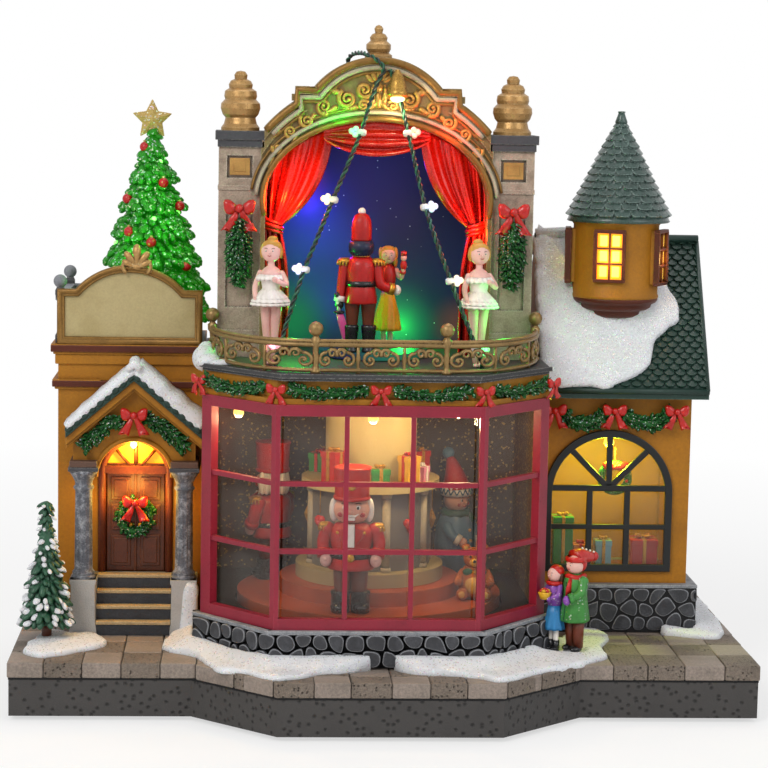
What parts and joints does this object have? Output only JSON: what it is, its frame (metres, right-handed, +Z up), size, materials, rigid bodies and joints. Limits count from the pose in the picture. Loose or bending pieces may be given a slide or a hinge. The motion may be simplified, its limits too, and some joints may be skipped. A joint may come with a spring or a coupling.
{
  "type": "musical toy theatre",
  "caption": "Lighted resin street scene with a turning stage and carousel, balcony, bay window, two houses, light strings and a battery base.",
  "frame": {"origin": "middle of the base's outline on the surface it stands on", "axes": "+X to the right in the front view, +Y away from the viewer, +Z up"},
  "size_m": [0.32, 0.204, 0.2945],
  "materials": {
    "stone_paving": "satin",
    "black_plastic": "moulded",
    "rubber": "matte",
    "steel": "plated",
    "brass": "turned",
    "board": "solder mask",
    "white_plastic": "moulded",
    "grey_stone": "dry-brushed",
    "mustard": "painted resin, matt",
    "crimson": "painted",
    "clear": "clear",
    "green_leaf": "painted resin",
    "red_ribbon": "painted resin",
    "gold": "aged gold paint",
    "red_gloss": "gloss paint",
    "night_blue": "printed stars",
    "figure": "painted resin",
    "wire_green": "twisted wire",
    "lamp": "frosted",
    "bulb": "lit",
    "weathered_stone": "washed",
    "dark_wood": "painted resin",
    "sign": "painted resin",
    "tree_green": "glitter",
    "shingle": "painted resin",
    "black_green": "painted resin",
    "snow": "glitter",
    "terracotta": "painted resin"
  },
  "bodies": {
    "base": {"base_casting": "stone_paving", "bottom_cover": "black_plastic", "rubber_feet": "rubber", "screws": "steel", "battery_tray": "black_plastic", "battery_contacts": "steel", "speaker": "black_plastic", "circuit_board": "board", "gear_motor": "steel", "shaft_bushes": "brass", "adapter_socket": "black_plastic", "bay_plinth": "grey_stone", "middle_house": "mustard", "bay_frame": "crimson", "window_panes": "clear", "garlands": "green_leaf", "ribbon_bows": "red_ribbon", "balcony_slab": "grey_stone", "balcony_railing": "gold", "stage_house": "mustard", "rear_cover": "black_plastic", "stage_columns": "weathered_stone", "gold_finials": "gold", "proscenium_arch": "gold", "stage_curtains": "red_gloss", "stage_backdrop": "night_blue", "ballet_dancers": "figure", "string_left": "wire_green", "string_right": "wire_green", "string_lamps": "lamp", "house_bulbs": "bulb", "left_house": "mustard", "porch": "mustard", "entry_steps": "grey_stone", "double_door": "dark_wood", "fanlight": "dark_wood", "sign_board": "sign", "roof_balustrade": "grey_stone", "roof_tree": "tree_green", "tree_star": "gold", "snowy_fir": "tree_green", "right_house": "mustard", "arched_window": "black_green", "window_gifts": "red_ribbon", "right_roof": "shingle", "turret": "mustard", "turret_roof": "shingle", "snow_patches": "snow", "passers_by": "figure"},
    "carousel": {"carousel_tiers": "terracotta", "main_shaft": "steel", "main_gear": "white_plastic", "toy_figures": "figure", "shelf_gifts": "red_ribbon", "stage_disc": "night_blue", "dancing_couple": "figure"},
    "pinion": {"motor_pinion": "white_plastic"},
    "switch": {"mode_switch": "black_plastic"},
    "volume": {"volume_wheel": "black_plastic"},
    "door": {"battery_door": "black_plastic"}
  },
  "joints": [
    {"name": "carousel_spin", "type": "hinge", "parent": "base", "child": "carousel", "pos_m": [-0.005, -0.004, 0.1], "axis": [0, 0, 1], "continuous": true},
    {"name": "pinion_spin", "type": "hinge", "parent": "base", "child": "pinion", "pos_m": [0.0238, -0.004, 0.015], "axis": [0, 0, 1], "continuous": true},
    {"name": "mode_switch_slide", "type": "slide", "parent": "base", "child": "switch", "axis": [1, 0, 0], "range_m": [0, 0.008]},
    {"name": "volume_turn", "type": "hinge", "parent": "base", "child": "volume", "pos_m": [-0.052, 0.0926, 0.0132], "axis": [0, 0, 1], "range_deg": [0, 270]},
    {"name": "battery_door_slide", "type": "slide", "parent": "base", "child": "door", "axis": [0, 1, 0], "range_m": [0, 0.062]}
  ],
  "couplings": [
    {"joint": "pinion_spin", "follows": "carousel_spin", "ratio": -5}
  ]
}
